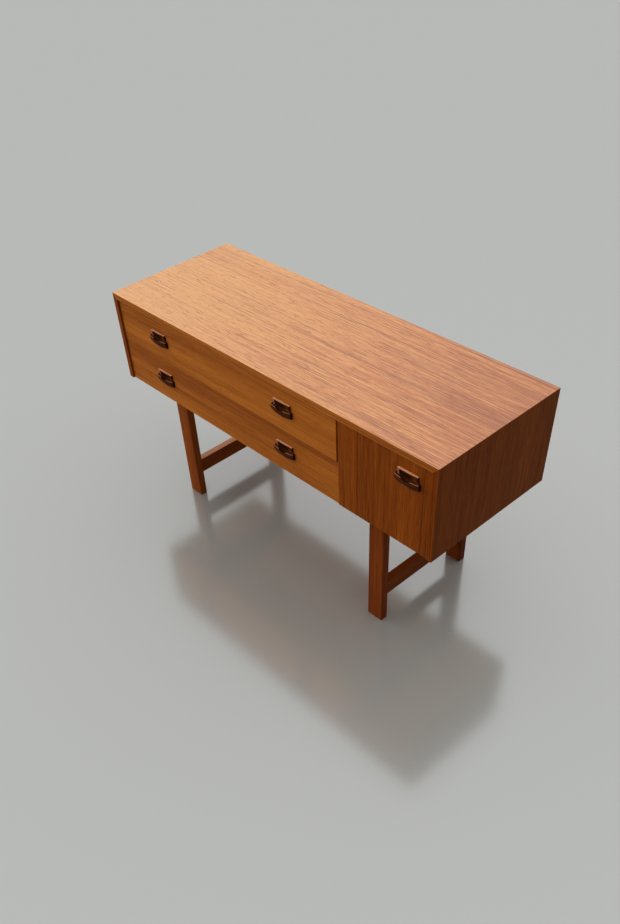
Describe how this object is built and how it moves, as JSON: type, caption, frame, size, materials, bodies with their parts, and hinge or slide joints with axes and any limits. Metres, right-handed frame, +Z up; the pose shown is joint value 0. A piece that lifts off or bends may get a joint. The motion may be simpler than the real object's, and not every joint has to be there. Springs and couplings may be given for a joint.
{
  "type": "low cabinet",
  "caption": "Long low wooden cabinet on open leg frames, with stacked sliding drawers at the left, a side-hung door at the right and carved lip pulls.",
  "frame": {"origin": "on the floor, under the middle of the case; the pulls stand proud, so the bounding box reaches 11 mm further in front than behind", "axes": "+X along the cabinet towards the door end, -Y towards the front, +Z up"},
  "size_m": [1.2, 0.4306, 0.617],
  "materials": {
    "teak_veneer": "oiled teak veneer with a soft sheen",
    "carved_teak": "hand-shaped solid teak, oiled and polished by use",
    "solid_teak": "oiled solid teak",
    "beech": "waxed solid beech",
    "plywood": "thin plywood, matt lacquer",
    "brass": "dull brass",
    "steel": "zinc-plated steel",
    "catch_housing": "matt brown moulded housing"
  },
  "bodies": {
    "case": {"case_top": "teak_veneer", "left_side": "teak_veneer", "right_side": "teak_veneer", "case_bottom": "teak_veneer", "partition": "teak_veneer", "back_panel": "plywood", "back_screw_1": "steel", "back_screw_2": "steel", "back_screw_3": "steel", "back_screw_4": "steel", "upper_left_runner": "beech", "upper_right_runner": "beech", "lower_left_runner": "beech", "lower_right_runner": "beech", "hinge_case_leaf": "brass", "hinge_lower_plate": "brass", "door_catch": "catch_housing", "left_front_post": "solid_teak", "left_rear_post": "solid_teak", "left_stretcher": "solid_teak", "left_top_rail": "solid_teak", "left_rail_screw_1": "steel", "left_rail_screw_2": "steel", "right_front_post": "solid_teak", "right_rear_post": "solid_teak", "right_stretcher": "solid_teak", "right_top_rail": "solid_teak", "right_rail_screw_1": "steel", "right_rail_screw_2": "steel"},
    "upper_drawer": {"upper_drawer_front": "teak_veneer", "upper_drawer_left_side": "beech", "upper_drawer_right_side": "beech", "upper_drawer_back": "beech", "upper_drawer_bottom": "plywood", "pull_upper_left": "carved_teak", "pull_upper_left_screw_1": "steel", "pull_upper_left_screw_2": "steel", "pull_upper_right": "carved_teak", "pull_upper_right_screw_1": "steel", "pull_upper_right_screw_2": "steel"},
    "lower_drawer": {"lower_drawer_front": "teak_veneer", "lower_drawer_left_side": "beech", "lower_drawer_right_side": "beech", "lower_drawer_back": "beech", "lower_drawer_bottom": "plywood", "pull_lower_left": "carved_teak", "pull_lower_left_screw_1": "steel", "pull_lower_left_screw_2": "steel", "pull_lower_right": "carved_teak", "pull_lower_right_screw_1": "steel", "pull_lower_right_screw_2": "steel"},
    "door": {"door": "teak_veneer", "hinge_upper_door_leaf": "brass", "hinge_lower_door_leaf": "brass", "catch_plate": "steel", "pull_door": "carved_teak", "pull_door_screw_1": "steel", "pull_door_screw_2": "steel"}
  },
  "joints": [
    {"name": "upper_drawer_slide", "type": "slide", "parent": "case", "child": "upper_drawer", "axis": [0, -1, 0], "range_m": [0, 0.29]},
    {"name": "lower_drawer_slide", "type": "slide", "parent": "case", "child": "lower_drawer", "axis": [0, -1, 0], "range_m": [0, 0.29]},
    {"name": "door_hinge", "type": "hinge", "parent": "case", "child": "door", "pos_m": [0.31, -0.2013, 0.4775], "axis": [0, 0, -1], "range_deg": [0, 90]}
  ]
}
